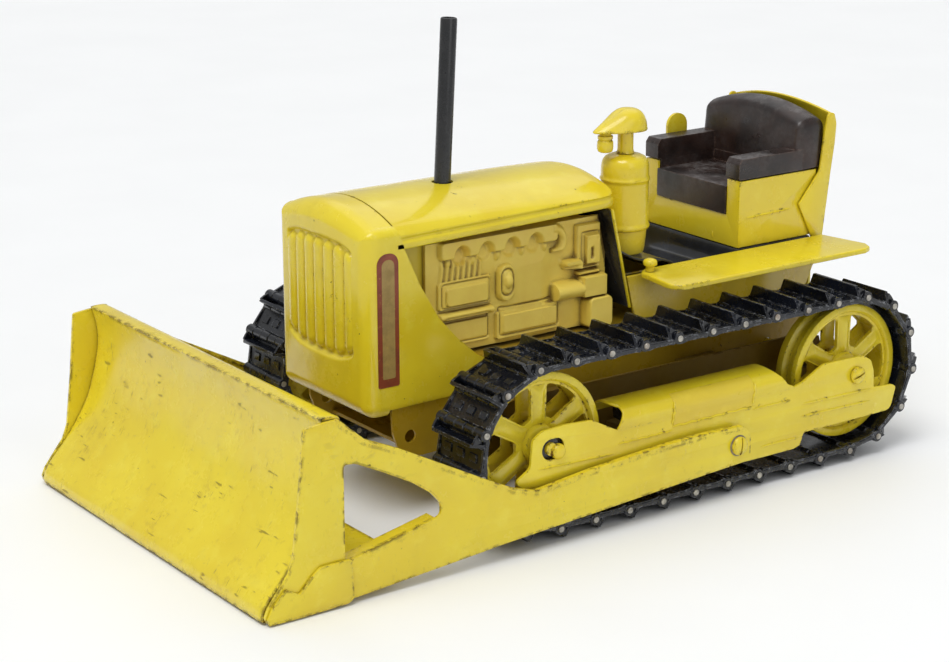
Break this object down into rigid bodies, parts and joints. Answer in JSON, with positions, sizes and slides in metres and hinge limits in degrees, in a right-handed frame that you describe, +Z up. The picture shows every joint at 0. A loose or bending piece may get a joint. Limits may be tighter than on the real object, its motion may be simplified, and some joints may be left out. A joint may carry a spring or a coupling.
{
  "type": "toy crawler bulldozer",
  "caption": "Pressed-steel toy bulldozer with a lifting blade on push arms, spoked track wheels, black tracks, cast engine sides, air cleaner, tall stack and a brown driver's seat.",
  "frame": {"origin": "on the ground, at the middle of the overall length and width", "axes": "+Z up, the machine faces -Y (blade end), +X is the machine's left-hand side"},
  "size_m": [0.2182, 0.3851, 0.2239],
  "materials": {
    "yellow_enamel": "gloss",
    "engine_enamel": "satin",
    "black_enamel": "gloss",
    "track_black": "semi-gloss",
    "seat_brown": "worn satin",
    "bare_steel": "satin"
  },
  "bodies": {
    "machine": {"chassis_side_left": "yellow_enamel", "chassis_side_right": "yellow_enamel", "chassis_deck": "yellow_enamel", "chassis_floor": "yellow_enamel", "radiator_shell": "yellow_enamel", "hood": "yellow_enamel", "firewall": "yellow_enamel", "body_side_left": "yellow_enamel", "body_side_right": "yellow_enamel", "body_rear": "yellow_enamel", "fender_left": "yellow_enamel", "fender_right": "yellow_enamel", "filler_knob_left": "yellow_enamel", "filler_knob_right": "yellow_enamel", "cleaner_cup": "yellow_enamel", "cleaner_canister": "yellow_enamel", "cleaner_neck": "yellow_enamel", "cleaner_cap": "yellow_enamel", "cleaner_jar": "yellow_enamel", "seat_base": "yellow_enamel", "seat_back_shell": "yellow_enamel", "lever_pin": "yellow_enamel", "pivot_bolt_left": "yellow_enamel", "pivot_bolt_right": "yellow_enamel", "track_frame_cover_left": "yellow_enamel", "track_frame_cover_right": "yellow_enamel", "track_frame_inner_left": "yellow_enamel", "track_frame_inner_right": "yellow_enamel", "engine_block": "engine_enamel", "engine_relief_left": "engine_enamel", "engine_relief_right": "engine_enamel", "exhaust_stack": "black_enamel", "floor_plate": "black_enamel", "track_left": "track_black", "track_right": "track_black", "seat_casting": "seat_brown", "rear_axle": "bare_steel", "front_axle": "bare_steel", "rear_hub_spacer_left": "bare_steel", "rear_hub_spacer_right": "bare_steel", "front_hub_spacer_left": "bare_steel", "front_hub_spacer_right": "bare_steel", "pivot_bush_left": "bare_steel", "pivot_bush_right": "bare_steel"},
    "blade": {"blade_moldboard": "yellow_enamel", "blade_brace": "yellow_enamel", "push_arm_left": "yellow_enamel", "push_arm_right": "yellow_enamel", "toe_plate_left": "yellow_enamel", "toe_plate_right": "yellow_enamel"},
    "lever": {"hand_lever": "yellow_enamel"},
    "drive_left": {"drive_wheel_left": "yellow_enamel"},
    "drive_right": {"drive_wheel_right": "yellow_enamel"},
    "idler_left": {"idler_wheel_left": "yellow_enamel"},
    "idler_right": {"idler_wheel_right": "yellow_enamel"}
  },
  "joints": [
    {"name": "drive_spin_left", "type": "hinge", "parent": "machine", "child": "drive_left", "pos_m": [0.0851, 0.1479, 0.0448], "axis": [1, 0, 0], "continuous": true},
    {"name": "idler_spin_left", "type": "hinge", "parent": "machine", "child": "idler_left", "pos_m": [0.0851, -0.04, 0.0448], "axis": [1, 0, 0], "continuous": true},
    {"name": "drive_spin_right", "type": "hinge", "parent": "machine", "child": "drive_right", "pos_m": [-0.0851, 0.1479, 0.0448], "axis": [1, 0, 0], "continuous": true},
    {"name": "idler_spin_right", "type": "hinge", "parent": "machine", "child": "idler_right", "pos_m": [-0.0851, -0.04, 0.0448], "axis": [1, 0, 0], "continuous": true},
    {"name": "blade_lift", "type": "hinge", "parent": "machine", "child": "blade", "pos_m": [0, 0.0667, 0.0262], "axis": [-1, 0, 0], "range_deg": [0, 20]},
    {"name": "lever_swing", "type": "hinge", "parent": "machine", "child": "lever", "pos_m": [-0.0402, 0.1494, 0.1046], "axis": [1, 0, 0], "range_deg": [-20, 15]}
  ],
  "couplings": [
    {"joint": "idler_spin_left", "follows": "drive_spin_left", "ratio": 1},
    {"joint": "idler_spin_right", "follows": "drive_spin_right", "ratio": 1}
  ]
}
